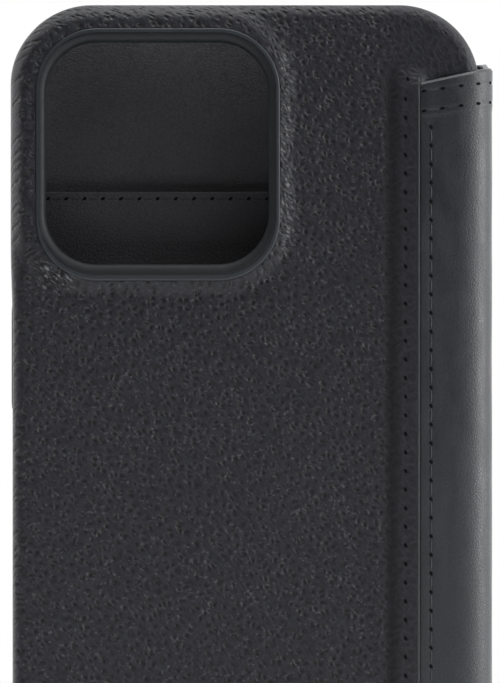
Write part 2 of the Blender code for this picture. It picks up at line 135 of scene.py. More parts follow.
# ---------------------------------------------------------------------------
# Back leather. One piece of pebbled cowhide, skived to 0.6 mm, wetted and
# pressed over the moulded tray: it runs up a soft collar at the camera, folds
# round the edges, and ends in a raised lip that holds the spine's leather.
# ---------------------------------------------------------------------------
SKIN = 0.6 * MM
TRAY_DEPTH = leather_high[1] - BACK
TRAY_CORNER = 12.95 * MM
EDGE_ROUNDING = 2.1 * MM
CENTRE_X = (LEFT + RIGHT) / 2
SEAM_START = RIGHT - 15.0 * MM
SEAM = RIGHT - 10.0 * MM
BACK_ROW = 2.0 * MM                    # from the seam back to its stitch row
SLIT_WIDTH = 2.0 * MM
SLIT_END = 12.9 * MM
COLLAR_RISE, SWELL_RISE, SWELL_REACH = 1.1 * MM, 0.2 * MM, 7 * MM
LIP_FIRST_RISE, LIP_RISE = 0.85 * MM, 1.25 * MM
GROOVE_DEPTH, ROW_DEPTH, SHOULDER_DROP = 0.3 * MM, 0.1 * MM, 0.3 * MM
RIM_LEFT, RIM_RIGHT, RIM_BOTTOM, RIM_TOP = 1.45 * MM, 1.85 * MM, 2.7 * MM, 2.1 * MM
RIM_CORNER = 9.9 * MM
HOLE_CORNER = 8.2 * MM
hole_low = (LEFT + 5.4 * MM, LENGTH - 42.05 * MM)
hole_high = (LEFT + 41.5 * MM, LENGTH - 6.05 * MM)
rim_low = (hole_low[0] - RIM_LEFT, hole_low[1] - RIM_BOTTOM)
rim_high = (hole_high[0] + RIM_RIGHT, hole_high[1] + RIM_TOP)


class Link:
    """An output socket of a finish's nodes, on which sums add Math nodes."""

    def __init__(self, finish, socket):
        self.finish = finish
        self.socket = socket

    def sum_of(self, operation, first, second):
        return self.finish.node("Math", {"operation": operation}, {0: first, 1: second})

    def __add__(self, other):
        return self.sum_of("ADD", self, other)

    def __sub__(self, other):
        return self.sum_of("SUBTRACT", self, other)

    def __rsub__(self, other):
        return self.sum_of("SUBTRACT", other, self)

    def __mul__(self, other):
        return self.sum_of("MULTIPLY", self, other)

    __radd__ = __add__
    __rmul__ = __mul__


class Finish:
    """A procedural material; constants go straight onto the shader's sockets."""

    def __init__(self, name, **constants):
        self.material = bpy.data.materials.new(name)
        self.material.use_nodes = True
        self.tree = self.material.node_tree
        self.shader = self.tree.nodes["Principled BSDF"]
        for socket, value in constants.items():
            self.shader.inputs[socket.replace("_", " ")].default_value = value
        self.spot = self.node("TexCoord", output="Object")

    def node(self, kind, settings=None, values=None, output=0):
        node = self.tree.nodes.new("ShaderNode" + kind)
        for name, value in (settings or {}).items():
            setattr(node, name, value)
        for name, value in (values or {}).items():
            self.join(node.inputs[name], value)
        return Link(self, node.outputs[output])

    def join(self, socket, value):
        if isinstance(value, Link):
            self.tree.links.new(value.socket, socket)
        else:
            socket.default_value = value

    def ramp(self, value, low, high, start=0.0, end=1.0):
        """Start below low, end above high, and smooth between them."""
        values = {"Value": value, "From Min": low, "From Max": high, "To Min": start, "To Max": end}
        return self.node("MapRange", {"interpolation_type": "SMOOTHSTEP"}, values)

    def cloud(self, scale, detail=2.0, spot=None):
        return self.node("TexNoise", None, {"Vector": spot or self.spot, "Scale": scale, "Detail": detail})

    def cells(self, feature, scale, spot=None, dimensions="3D"):
        values = {"Vector": spot or self.spot, "Scale": scale}
        return self.node("TexVoronoi", {"feature": feature, "voronoi_dimensions": dimensions}, values, "Distance")

    def laid_flat(self, spot, first, second):
        """Two sums of a place's axes, for a pattern that must show every one of its cells on the surface."""
        sums = {i: self.node("VectorMath", {"operation": "DOT_PRODUCT"}, {0: spot, 1: axes}, "Value")
                for i, axes in enumerate((first, second))}
        return self.node("CombineXYZ", None, sums)

    def stretched(self, turn, scale, spot=None):
        """The place for a pattern that is turned, then drawn out by a scale on each turned axis."""
        values = {"Vector": spot or self.spot, "Rotation": turn, "Scale": scale}
        return self.node("Mapping", {"vector_type": "TEXTURE"}, values)

    def pushed(self, scale, amount, spot=None):
        """The place, pushed about by a soft noise."""
        cloud = self.node("TexNoise", None, {"Vector": spot or self.spot, "Scale": scale}, "Color")
        settings = {"operation": "MULTIPLY_ADD"}
        return self.node("VectorMath", settings, {0: cloud, 1: (amount,) * 3, 2: spot or self.spot})

    def tint(self, factor, under, over):
        return self.node("Mix", {"data_type": "RGBA"}, {0: factor, 6: under, 7: (*over, 1)}, 2)

    def colour(self, factor, low, high):
        return self.tint(factor, (*low, 1), high)

    def put(self, height, depth, **links):
        """Joins the links onto the shader's sockets, and the height as a bump this deep."""
        for socket, value in links.items():
            self.join(self.shader.inputs[socket.replace("_", " ")], value)
        self.join(self.shader.inputs["Normal"], self.node("Bump", None, {"Height": height, "Distance": depth}))
        return self

    def plain(self, grain, depth, dark, light, tone=None, rough=None):
        """A grain in relief, a tone from dark to light, and a range of roughness that follows the grain."""
        links = {"Base_Color": self.colour(tone or grain, dark, light)}
        if rough:
            links["Roughness"] = self.ramp(grain, 0.3, 0.7, *rough)
        return self.put(grain, depth, **links)


def smooth(value):
    value = np.clip(value, 0, 1)
    return value * value * (3 - 2 * value)


def lines(*stretches):
    """Grid positions: (start, end, step) stretches in one rising list."""
    found = []
    for start, end, step in stretches:
        count = max(1, round((end - start) / step))
        found += list(np.linspace(start, end, count, endpoint=False))
    return np.array(found + [stretches[-1][1]])


def grid(name, across, up):
    """A flat grid, and each vertex's two positions out of the lists of lines."""
    bpy.ops.object.select_all(action="DESELECT")
    columns, rows = len(across) - 1, len(up) - 1
    bpy.ops.mesh.primitive_grid_add(x_subdivisions=columns, y_subdivisions=rows, size=1)
    obj = bpy.context.object
    obj.name = name
    flat = np.empty(len(obj.data.vertices) * 3)
    obj.data.vertices.foreach_get("co", flat)
    flat = flat.reshape(-1, 3)
    column = np.rint((flat[:, 0] + 0.5) * columns).astype(int)
    row = np.rint((flat[:, 1] + 0.5) * rows).astype(int)
    return obj, across[column], up[row]


def move_points(obj, x, y, z):
    obj.data.vertices.foreach_set("co", np.column_stack((x, y, z)).ravel())
    obj.data.update()


def alone(obj):
    bpy.ops.object.select_all(action="DESELECT")
    obj.select_set(True)
    bpy.context.view_layer.objects.active = obj


def change(obj, kind, **settings):
    """Adds a modifier and applies it."""
    modifier = obj.modifiers.new(kind.lower(), kind)
    for name, value in settings.items():
        setattr(modifier, name, value)
    alone(obj)
    bpy.ops.object.modifier_apply(modifier=modifier.name)


def edit_faces(obj, wanted):
    """Opens a piece for editing, with only the faces that are wanted selected."""
    alone(obj)
    bpy.ops.object.mode_set(mode="EDIT")
    bpy.ops.mesh.select_mode(type="FACE")
    bpy.ops.mesh.select_all(action="DESELECT")
    bpy.ops.object.mode_set(mode="OBJECT")
    for face in obj.data.polygons:
        face.select = wanted(face)
    bpy.ops.object.mode_set(mode="EDIT")


def wrapped(u, v, half_width, half_length, corner, rounding):
    """Wraps a flat sheet round a rounded block: gives x and z from its middle, and depth."""
    core_u, core_v = half_width - corner, half_length - corner
    out_u = np.maximum(np.abs(u) - core_u, 0)
    out_v = np.maximum(np.abs(v) - core_v, 0)
    reach = np.maximum(out_u, out_v)
    safe = np.maximum(reach, 1e-9)
    turn = np.where(out_u >= out_v, out_v / safe, 2 - out_u / safe) * math.pi / 4
    flat = corner - rounding
    angle = np.clip((reach - flat) / rounding, 0, math.pi / 2)
    radius = np.minimum(reach, flat) + rounding * np.sin(angle)
    wall = np.maximum(reach - flat - rounding * math.pi / 2, 0)
    depth = rounding * (1 - np.cos(angle)) + wall
    x = np.sign(u) * (np.minimum(np.abs(u), core_u) + radius * np.cos(turn))
    z = np.sign(v) * (np.minimum(np.abs(v), core_v) + radius * np.sin(turn))
    return x, z, depth


def edge_reach(depth, rounding):
    """How far a sheet runs past a block's side to reach a depth."""
    return depth - rounding + rounding * (math.pi / 2 - 1)


def off_rounded(x, z, low, high, corner):
    """Signed distance from a rounded rectangle, and the direction to its nearest point."""
    centre = ((low[0] + high[0]) / 2, (low[1] + high[1]) / 2)
    qx = np.abs(x - centre[0]) - (high[0] - low[0]) / 2 + corner
    qz = np.abs(z - centre[1]) - (high[1] - low[1]) / 2 + corner
    out_x, out_z = np.maximum(qx, 0), np.maximum(qz, 0)
    distance = np.hypot(out_x, out_z) + np.minimum(np.maximum(qx, qz), 0) - corner
    size = np.maximum(np.hypot(out_x, out_z), 1e-9)
    return distance, out_x / size * np.sign(x - centre[0]), out_z / size * np.sign(z - centre[1])


def leather_height(x, z):
    """How far the back leather stands out of the tray's flat back."""
    distance, side, rise = off_rounded(x, z, rim_low, rim_high, RIM_CORNER)
    tight = np.maximum(-side, 0) ** 2 + np.maximum(rise, 0) ** 2
    start = (2.0 * tight - 0.5 - 0.2 * np.maximum(rise, 0)) * MM
    reach = (3.0 + 0.4 * tight + 0.6 * np.maximum(side, 0)) * MM
    collar = COLLAR_RISE * (1 - smooth((distance - start) / reach))
    swell = SWELL_RISE * np.exp(-((distance / SWELL_REACH) ** 2)) * np.maximum(side, 0)
    across = x - SEAM_START
    ends = smooth((np.minimum(z, LENGTH - z) - 9.6 * MM) / (4.4 * MM))
    groove = -GROOVE_DEPTH * np.exp(-(((across - 0.4 * MM) / (0.8 * MM)) ** 2))
    lip = smooth((across - 0.6 * MM) / (2.4 * MM)) * LIP_FIRST_RISE
    lip += smooth((across - 2.8 * MM) / (2.2 * MM)) * (LIP_RISE - LIP_FIRST_RISE)
    after = np.where(x > SEAM + 0.01 * MM, 1 - smooth((x - SEAM) / SLIT_WIDTH), 1)
    row = -ROW_DEPTH * np.exp(-(((x - SEAM + BACK_ROW) / (0.45 * MM)) ** 2)) * (across > 0)
    shoulder = SHOULDER_DROP * (1 - smooth(np.minimum(z, LENGTH - z) / (5 * MM)))
    return np.maximum(collar, swell) + ends * (groove + (lip + row) * after) - shoulder


def outline(low, high, corner, steps=10):
    """Points round a rounded rectangle, from its lowest and highest corners."""
    found = []
    for quarter, (u, v) in enumerate(((high[0], high[1]), (low[0], high[1]), (low[0], low[1]), (high[0], low[1]))):
        centre = (u - math.copysign(corner, u - (low[0] + high[0]) / 2),
                  v - math.copysign(corner, v - (low[1] + high[1]) / 2))
        for step in range(steps + 1):
            angle = math.pi / 2 * (quarter + step / steps)
            found.append((centre[0] + corner * math.cos(angle), centre[1] + corner * math.sin(angle)))
    return found


def slab(name, axis, low, high, corner, span, steps=8):
    """A straight rounded block: a plane with rounded corners, extruded along an axis."""
    bpy.ops.object.select_all(action="DESELECT")
    turn = {"X": (math.pi / 2, 0, math.pi / 2), "Y": (math.pi / 2, 0, 0), "Z": (0, 0, 0)}[axis]
    middle = [(low[i] + high[i]) / 2 for i in range(2)]
    place = {"X": (span[0], *middle), "Y": (middle[0], span[0], middle[1]), "Z": (*middle, span[0])}[axis]
    bpy.ops.mesh.primitive_plane_add(size=1, location=place, rotation=turn)
    obj = bpy.context.object
    obj.name = name
    obj.scale = (high[0] - low[0], high[1] - low[1], 1)
    bpy.ops.object.transform_apply(location=True, rotation=True, scale=True)
    bpy.ops.object.mode_set(mode="EDIT")
    bpy.ops.mesh.select_all(action="SELECT")
    bpy.ops.mesh.bevel(offset=corner * 0.9995, segments=steps, affect="VERTICES", clamp_overlap=False)
    move = {"X": (span[1] - span[0], 0, 0), "Y": (0, span[1] - span[0], 0), "Z": (0, 0, span[1] - span[0])}[axis]
    bpy.ops.mesh.select_all(action="SELECT")
    bpy.ops.mesh.extrude_region_move(TRANSFORM_OT_translate={"value": move})
    bpy.ops.mesh.select_all(action="SELECT")
    bpy.ops.mesh.remove_doubles(threshold=1e-6)
    bpy.ops.mesh.normals_make_consistent(inside=False)
    bpy.ops.object.mode_set(mode="OBJECT")
    return obj


def cut(obj, *cutters):
    """Takes the cutters out of a piece, in one go."""
    alone(cutters[0])
    for cutter in cutters:
        cutter.select_set(True)
    if len(cutters) > 1:
        bpy.ops.object.join()
    change(obj, "BOOLEAN", operation="DIFFERENCE", solver="EXACT", object=cutters[0])
    bpy.data.objects.remove(cutters[0])


def finished(obj, finish, body, slot, *nodes, angle=40):
    """Smooths and paints a piece, hangs it on its body, and hides the nodes that it stands for."""
    alone(obj)
    bpy.ops.object.shade_smooth_by_angle(angle=math.radians(angle))
    if finish:
        obj.data.materials.clear()
        obj.data.materials.append(finish.material)
    if body:
        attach(obj, body)
    if nodes:
        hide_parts(*nodes)
    return obj


half_width, half_length = (RIGHT - LEFT) / 2, LENGTH / 2
over = edge_reach(TRAY_DEPTH, EDGE_ROUNDING)
seam_u = SEAM - CENTRE_X
across = lines(
    (-half_width - over, -half_width, 1.5 * MM),
    (-half_width, rim_high[0] - CENTRE_X + 5 * MM, 0.6 * MM),
    (rim_high[0] - CENTRE_X + 5 * MM, seam_u - 6 * MM, 1.0 * MM),
    (seam_u - 6 * MM, seam_u, 0.3 * MM),
    (seam_u, seam_u + SLIT_WIDTH, 0.5 * MM),
    (seam_u + SLIT_WIDTH, half_width - 3 * MM, 1.2 * MM),
    (half_width - 3 * MM, half_width + 1 * MM, 0.5 * MM),
    (half_width + 1 * MM, half_width + over, 1.5 * MM),
)
up = lines(
    (-half_length - over, -half_length - 1 * MM, 1.5 * MM),
    (-half_length - 1 * MM, -half_length + 3 * MM, 0.5 * MM),
    (-half_length + 3 * MM, -half_length + SLIT_END, 0.93 * MM),
    (-half_length + SLIT_END, rim_low[1] - MIDDLE - 5 * MM, 1.4 * MM),
    (rim_low[1] - MIDDLE - 5 * MM, half_length - SLIT_END, 0.6 * MM),
    (half_length - SLIT_END, half_length + 1 * MM, 0.6 * MM),
    (half_length + 1 * MM, half_length + over, 1.5 * MM),
)
back_leather, u, v = grid("back_leather_skin", across, up)
x, z, depth = wrapped(u, v, half_width, half_length, TRAY_CORNER, EDGE_ROUNDING)
x, z = x + CENTRE_X, z + MIDDLE
facing = 1 - smooth((depth - 0.2 * MM) / (1.2 * MM))
wander = np.array([noise.noise(Vector((a, b, c)) * 110) for a, b, c in zip(x, depth, z)]) * 0.07 * MM
from_rim, rim_side, _ = off_rounded(x, z, rim_low, rim_high, RIM_CORNER)
wrinkled = smooth((from_rim + 0.3 * MM) / (0.8 * MM)) * (1 - smooth((from_rim - 1.6 * MM) / (1.8 * MM)))
wrinkled *= 0.35 + 0.65 * np.maximum(rim_side, 0)
high_side = 1 - smooth((np.abs(z - (rim_low[1] + rim_high[1]) / 2) - 14 * MM) / (14 * MM))
bulge = high_side * smooth(depth / (1.2 * MM)) * (1 - smooth((depth - 5 * MM) / (5 * MM)))
x = x - 0.3 * MM * (x < CENTRE_X) * bulge
wrinkle = np.array([noise.noise(Vector((a, 5 * c, c)) * 420) for a, c in zip(x, z)]) * 0.16 * MM
move_points(back_leather, x, BACK + depth + (wander + wrinkle * wrinkled - leather_height(x, z)) * facing, z)
edit_faces(back_leather, lambda face: SEAM < face.center.x < SEAM + SLIT_WIDTH
           and SLIT_END < face.center.z < LENGTH - SLIT_END and face.center.y < BACK + 1 * MM)
bpy.ops.mesh.delete(type="FACE")
bpy.ops.object.mode_set(mode="OBJECT")
change(back_leather, "SOLIDIFY", thickness=SKIN, offset=-1, use_even_offset=False)

SIDE_MIDDLE = BACK + 6.625 * MM
FAR = 6 * MM
side_windows = []
BUTTONS = {                            # side, distance from the top, and length
    "power_button": (-1, 57.0 * MM, 17.0 * MM),
    "volume_up_button": (1, 47.5 * MM, 10.5 * MM),
    "volume_down_button": (1, 61.5 * MM, 10.5 * MM),
}
BUTTON_WIDTH, BUTTON_GAP = 3.4 * MM, 0.15 * MM
MUTE_WINDOW = (1, 33.5 * MM, 10.0 * MM, 5.0 * MM)
SLOTS = (                              # offset, width and height of the charging and speaker slots
    (0, 13.0 * MM, 5.4 * MM),
    (-19.5 * MM, 13.0 * MM, 3.0 * MM),
    (19.5 * MM, 13.0 * MM, 3.0 * MM),
)
windows = [(side, from_top, length + 2 * BUTTON_GAP, BUTTON_WIDTH + 2 * BUTTON_GAP)
           for side, from_top, length in BUTTONS.values()] + [MUTE_WINDOW]
for number, (side, from_top, length, width) in enumerate(windows):
    half = (width / 2, length / 2)
    middle = (SIDE_MIDDLE, LENGTH - from_top)
    low = (middle[0] - half[0], middle[1] - half[1])
    high = (middle[0] + half[0], middle[1] + half[1])
    inner = CENTRE_X + side * (half_width - 2 * MM)
    span = (inner, CENTRE_X + side * (half_width + FAR))
    side_windows.append(slab(f"window_{number}", "X", low, high, half[0], span))
for number, (offset, width, height) in enumerate(SLOTS):
    low = (CENTRE_X + offset - width / 2, SIDE_MIDDLE - height / 2)
    high = (CENTRE_X + offset + width / 2, SIDE_MIDDLE + height / 2)
    side_windows.append(slab(f"slot_{number}", "Z", low, high, height / 2, (-FAR, 2 * MM)))
RIM_GAP = 0.03 * MM
camera_hole = slab("camera_hole", "Y", [at - RIM_GAP for at in rim_low], [at + RIM_GAP for at in rim_high],
                   RIM_CORNER + RIM_GAP, (BACK - FAR, BACK + FAR), steps=16)
cut(back_leather, camera_hole, *side_windows)


def pebbled_hide():
    """Pebbled cowhide: dark pores and hair marks over soft clouds of tone, with painted highlight
    specks; calm along the lip, with painted shade in the groove before it and its top painted lighter,
    wrinkled right of the camera rim, and with painted highlights on the creases below it."""
    hide = Finish("pebbled_leather", IOR=1.45, Specular_IOR_Level=0.29)
    soft = hide.pushed(350, 0.0009)
    flow = hide.laid_flat(soft, (0.77, 1.0, 0.64), (0.53, -0.08, -0.64))
    pore = hide.ramp(hide.cells("F1", 770, flow, "2D"), 0.05, 0.4, 1, 0)
    pore = pore * hide.ramp(hide.cloud(420, 2), 0.35, 0.6, 0.45, 1)
    ridge = hide.ramp(hide.cells("DISTANCE_TO_EDGE", 770, flow, "2D"), 0.0, 0.25, 1, 0)
    hair = hide.cloud(2300, 2, hide.stretched((0, math.radians(-40), 0), (1.0, 1.0, 3.0), soft))
    fine = hide.cloud(4200, 3)
    highlight_specks = hide.ramp(hide.cloud(1900, 2), 0.6, 0.7)
    rough = hide.ramp(fine + hide.cloud(70, 3) * 0.4, 0.3, 1.0, 0.43, 0.6)
    across = hide.node("SeparateXYZ", None, {0: hide.spot})
    upward = hide.node("SeparateXYZ", None, {0: hide.spot}, 2)
    calm = hide.ramp(across, SEAM_START - 0.5 * MM, SEAM_START + 2.0 * MM, 1, 0.2)
    pore = pore * calm
    height = fine * 0.3 + ridge * 0.2 + hair * 0.4 - pore * 1.3
    hair_tone = hide.ramp(hair + ridge * 0.15, 0.38, 0.75)
    colour = hide.colour(hair_tone, (0.0048, 0.005, 0.007), (0.0117, 0.0122, 0.0163))
    colour = hide.tint(pore * 0.95, colour, (0.001, 0.001, 0.0014))
    # painted highlight: scattered pale specks lighten the colour, fewer along the lip
    colour = hide.tint(highlight_specks * calm * 0.35, colour, (0.075, 0.075, 0.08))

    corner_at = (hole_low[0] + 1.5 * MM, BACK, rim_low[1] + 1.0 * MM)
    taller = (1.0, 1.0, 1.5)
    shift = tuple(-at * scale for at, scale in zip(corner_at, taller))
    corner = hide.node("Mapping", None, {"Vector": hide.spot, "Location": shift, "Scale": taller})
    near = hide.ramp(hide.node("VectorMath", {"operation": "LENGTH"}, {0: corner}, 1), 0.001, 0.0055, 1, 0)
    drifting = hide.node("SeparateXYZ", None, {0: hide.pushed(130, 0.004)})
    beside = hide.ramp(drifting, rim_high[0] + 1.6 * MM, rim_high[0] + 2.5 * MM)
    beside = beside * hide.ramp(drifting, rim_high[0] + 3.0 * MM, rim_high[0] + 5.2 * MM, 1, 0)
    beside = beside * hide.ramp(upward, rim_low[1] + 1 * MM, rim_low[1] + 7 * MM)
    beside = beside * hide.ramp(upward, rim_high[1] - 7 * MM, rim_high[1] + 1 * MM, 1, 0)
    creased = near + beside * 0.45
    fold_spot = hide.stretched((0, math.radians(35), 0), (2.0, 1.0, 0.62), hide.pushed(500, 0.0012))
    folds = hide.ramp(hide.cells("DISTANCE_TO_EDGE", 900, fold_spot), 0.0, 0.22)
    crease_highlight = hide.ramp(hide.cloud(1500, 2, fold_spot), 0.5, 0.62)
    height = height + folds * creased * 1.6
    # painted highlight: pale specks on the creases below the camera rim and right of it
    colour = hide.tint(creased * crease_highlight * folds * 0.8, colour, (0.17, 0.17, 0.175))

    from_middle = hide.node("Math", {"operation": "ABSOLUTE"}, {0: upward - MIDDLE})
    lip = hide.ramp(from_middle, MIDDLE - 13.5 * MM, MIDDLE - 9.5 * MM, 1, 0)
    # painted shade: the colour is darkened in a band in the groove before the lip rises; the band is also a little
    # rougher
    groove_shade_band = hide.ramp(across, SEAM_START - 0.6 * MM, SEAM_START + 0.7 * MM)
    groove_shade_band = groove_shade_band * hide.ramp(across, SEAM_START + 0.7 * MM, SEAM_START + 2.4 * MM, 1, 0) * lip
    colour = hide.tint(groove_shade_band * 0.6, colour, (0.002, 0.002, 0.003))
    # the lip's raised top, up to its cut edge, is painted a little lighter
    lighter_lip_top = hide.ramp(across, SEAM_START + 1.6 * MM, SEAM_START + 2.8 * MM) * lip
    lighter_lip_top = lighter_lip_top * hide.ramp(across, SEAM, SEAM + 0.3 * MM, 1, 0)
    colour = hide.tint(lighter_lip_top * 0.13, colour, (0.033, 0.033, 0.037))
    return hide.put(height, 0.00013, Base_Color=colour, Roughness=rough + groove_shade_band * 0.15)


pebbled_leather = pebbled_hide()
finished(back_leather, pebbled_leather, "tray", "pebbled_leather", "back_leather")


# ---------------------------------------------------------------------------
# Camera rim. Two injection moulded rings, snapped into the tray: a slate one
# whose round crest stands proud of the collar, and a soft black lip inside it
# that slopes in to the phone's glass. A cut foam ring fills the collar.
# ---------------------------------------------------------------------------
RIM_PROUD = 1.25 * MM
RIM_EDGE = 0.35 * MM                   # radius of the crest's outer edge
CREST = -RIM_PROUD


def ring(name, loops):
    """A closed ring skinned over outlines that each have as many points; no operator follows such uneven ones."""
    count = len(loops[0])
    points = [point for loop in loops for point in loop]
    faces = []
    for row in range(len(loops)):
        for i in range(count):
            j, after = (i + 1) % count, (row + 1) % len(loops)
            faces.append((row * count + i, row * count + j, after * count + j, after * count + i))
    mesh = bpy.data.meshes.new(name)
    mesh.from_pydata(points, [], faces)
    obj = bpy.data.objects.new(name, mesh)
    bpy.context.scene.collection.objects.link(obj)
    alone(obj)
    bpy.ops.object.mode_set(mode="EDIT")
    bpy.ops.mesh.select_all(action="SELECT")
    bpy.ops.mesh.normals_make_consistent(inside=False)
    bpy.ops.object.mode_set(mode="OBJECT")
    return obj


def between(share, at):
    """The outline a share of the way from the rim's outside to the camera hole, at a depth."""
    low = [rim_low[i] + (hole_low[i] - rim_low[i]) * share for i in range(2)]
    high = [rim_high[i] + (hole_high[i] - rim_high[i]) * share for i in range(2)]
    corner = RIM_CORNER + (HOLE_CORNER - RIM_CORNER) * share
    return [(px, BACK + at, pz) for px, pz in outline(low, high, corner, 14)]


ring_section = [(0, SKIN), (0, CREST + RIM_EDGE)]       # share of the way in, and depth
for angle in np.radians((22.5, 45, 67.5, 90)):
    ring_section.append(((1 - math.cos(angle)) * 0.14, CREST + RIM_EDGE * (1 - math.sin(angle))))
ring_section += [(0.33, CREST + 0.02 * MM), (0.35, CREST + 0.1 * MM), (0.36, CREST + 0.6 * MM),
                 (0.5, 1.0 * MM), (0.5, SKIN)]
camera_rim = ring("camera_rim_ring", [between(*step) for step in ring_section])
lip_section = [(0.34, CREST + 1.0 * MM), (0.34, CREST + 0.14 * MM), (0.38, CREST + 0.08 * MM),
               (0.6, CREST + 0.17 * MM), (0.85, CREST + 0.42 * MM), (0.96, CREST + 0.75 * MM),
               (1.0, -0.1 * MM), (1.0, 2.7 * MM), (0.6, 2.7 * MM), (0.6, CREST + 1.0 * MM)]
rim_lip = ring("camera_rim_lip", [between(*step) for step in lip_section])
moulded_rim = Finish("moulded_rim", Specular_IOR_Level=0.35)
grain = moulded_rim.cloud(9000, 2)
moulded_rim.put(
    grain, 0.000012,
    Base_Color=moulded_rim.colour(moulded_rim.cloud(300, 3), (0.0098, 0.0124, 0.0152), (0.015, 0.0183, 0.0224)),
    Roughness=moulded_rim.ramp(moulded_rim.cloud(1500, 3), 0.3, 0.75, 0.42, 0.56),
)
finished(camera_rim, moulded_rim, "tray", "moulded_rim", "camera_rim", angle=50)

soft_black = Finish("soft_black", Specular_IOR_Level=0.22)
soft_black.plain(soft_black.cloud(5000, 3), 0.00002, (0.0045, 0.0055, 0.0065), (0.008, 0.0095, 0.011),
                 tone=soft_black.cloud(300, 3), rough=(0.5, 0.68))
finished(rim_lip, soft_black, "tray", "moulded_rim", angle=50)

foam = Finish("foam", Roughness=0.95)
foam.plain(foam.cells("F1", 3500), 0.0001, (0.03, 0.03, 0.03), (0.1, 0.1, 0.1))


def repaint(node, finish):
    """A node whose shape is right keeps it and takes a better finish."""
    obj = frame["nodes"][node]
    for material_slot in obj.material_slots:
        material_slot.material = finish.material
    if not obj.material_slots:
        obj.data.materials.append(finish.material)


repaint("camera_pad", foam)


# ---------------------------------------------------------------------------
# Tray. A moulded black cradle with fine spark texture holds the phone, with a
# lip over its screen edge and a glued microfibre lining behind it.
# ---------------------------------------------------------------------------
moulded = Finish("moulded_black")
moulded.plain(moulded.cloud(6500, 4), 0.00003, (0.009, 0.0095, 0.011), (0.016, 0.017, 0.019),
              tone=moulded.cloud(250, 3), rough=(0.34, 0.5))
repaint("tray_shell", moulded)


def napped():
    """Microfibre: short nap that lies in soft patches, over a fine knit."""
    cloth = Finish("microfibre", Roughness=0.95, Sheen_Weight=0.35, Sheen_Roughness=0.5)
    nap = cloth.cloud(7000, 4)
    lay = cloth.ramp(cloth.cloud(220, 3, cloth.pushed(60, 0.01)), 0.2, 0.8)
    knit = cloth.cells("F1", 2600)
    shade = cloth.ramp(nap * 0.6 + lay * 0.3, 0.2, 0.8)
    colour = cloth.colour(shade, (0.028, 0.029, 0.032), (0.062, 0.064, 0.07))
    return cloth.put(nap + knit * 0.4, 0.00012, Base_Color=colour)


microfibre = napped()
repaint("tray_lining", microfibre)


# ---------------------------------------------------------------------------
# Side buttons. Small moulded caps with a wider base that the leather keeps in,
# on a springy membrane inside the tray wall.
# ---------------------------------------------------------------------------
button_finish = Finish("button_cap", Roughness=0.38)
button_finish.plain(button_finish.cloud(7000, 3), 0.00002, (0.011, 0.0125, 0.0145), (0.018, 0.02, 0.0225),
                    tone=button_finish.cloud(400, 2))
for node, (side, _, _) in BUTTONS.items():
    low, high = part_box(node)
    inner, outer = (low[0], high[0]) if side > 0 else (high[0], low[0])
    base_end = CENTRE_X + side * (half_width - 0.9 * MM)
    button = slab(node + "_cap", "X", low[1:], high[1:], (high[1] - low[1]) / 2, (inner, base_end))
    edit_faces(button, lambda face: face.normal.x * side > 0.9)
    bpy.ops.mesh.inset(thickness=0.5 * MM)
    bpy.ops.mesh.extrude_region_move(TRANSFORM_OT_translate={"value": (outer - base_end, 0, 0)})
    bpy.ops.object.mode_set(mode="OBJECT")
    change(button, "BEVEL", width=0.28 * MM, segments=4, limit_method="ANGLE", angle_limit=math.radians(50))
    finished(button, button_finish, node.replace("_button", "_cap"), "button_cap", node)


# ---------------------------------------------------------------------------
# Spine wraps. Smooth cowhide comes out from under the tray's lip, rounds the
# back corner, makes the spine and rounds the front corner onto the cover; its
# ends are turned in 5 mm and sewn. Two pieces, meeting at the spine's middle.
# ---------------------------------------------------------------------------
FRONT = mounts["cover_face"][1] - BACK
HIDE = 0.42 * MM
HEM_TURN = 0.44 * MM                   # radius of the turned-in edge
HEM_ROWS = (1.5 * MM, 4.7 * MM)        # the hem's stitch rows, from its edge
SPINE_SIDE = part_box("spine_leather")[1][0] + 0.15 * MM
BACK_BEND, BACK_BEND_ACROSS, FRONT_BEND = 5.0 * MM, 6.8 * MM, 2.2 * MM
FLAP_OUT = -0.95 * MM
STRIP_OUT = FRONT + 0.45 * MM
SPINE_MIDDLE = 8.75 * MM
ROW_X = SEAM + 2.1 * MM               # the stitch row on the flap
STRIP_EDGE = 26.5 * MM                # where the leather ends on the cover
STRIP_ROW = STRIP_EDGE + 2.0 * MM


def arc(centre, radius_x, radius, start, end, steps):
    return [(centre[0] + radius_x * math.cos(a), centre[1] + radius * math.sin(a))
            for a in np.radians(np.linspace(start, end, steps + 1))]


back_corner = (SPINE_SIDE - BACK_BEND_ACROSS, FLAP_OUT + BACK_BEND)
front_corner = (SPINE_SIDE - FRONT_BEND, STRIP_OUT - FRONT_BEND)
back_path = [(SEAM - 1.6 * MM, -0.42 * MM), (SEAM - 0.3 * MM, -0.42 * MM), (SEAM - 0.08 * MM, -0.46 * MM),
             (SEAM + 0.05 * MM, -0.62 * MM), (SEAM + 0.15 * MM, -0.82 * MM), (SEAM + 0.35 * MM, -0.93 * MM)]
back_path += [(px, FLAP_OUT) for px in lines((SEAM + 0.8 * MM, ROW_X - 0.8 * MM, 0.4 * MM),
                                            (ROW_X - 0.8 * MM, ROW_X + 0.8 * MM, 0.2 * MM),
                                            (ROW_X + 0.8 * MM, back_corner[0] - 0.4 * MM, 0.9 * MM))]
back_path += arc(back_corner, BACK_BEND_ACROSS, BACK_BEND, -90, 0, 18)
back_path += [(SPINE_SIDE, at) for at in lines((back_corner[1] + 0.7 * MM, SPINE_MIDDLE, 0.8 * MM))]
front_path = [(SPINE_SIDE, at) for at in lines((SPINE_MIDDLE, front_corner[1] - 0.5 * MM, 0.8 * MM))]
front_path += arc(front_corner, FRONT_BEND, FRONT_BEND, 0, 90, 12)
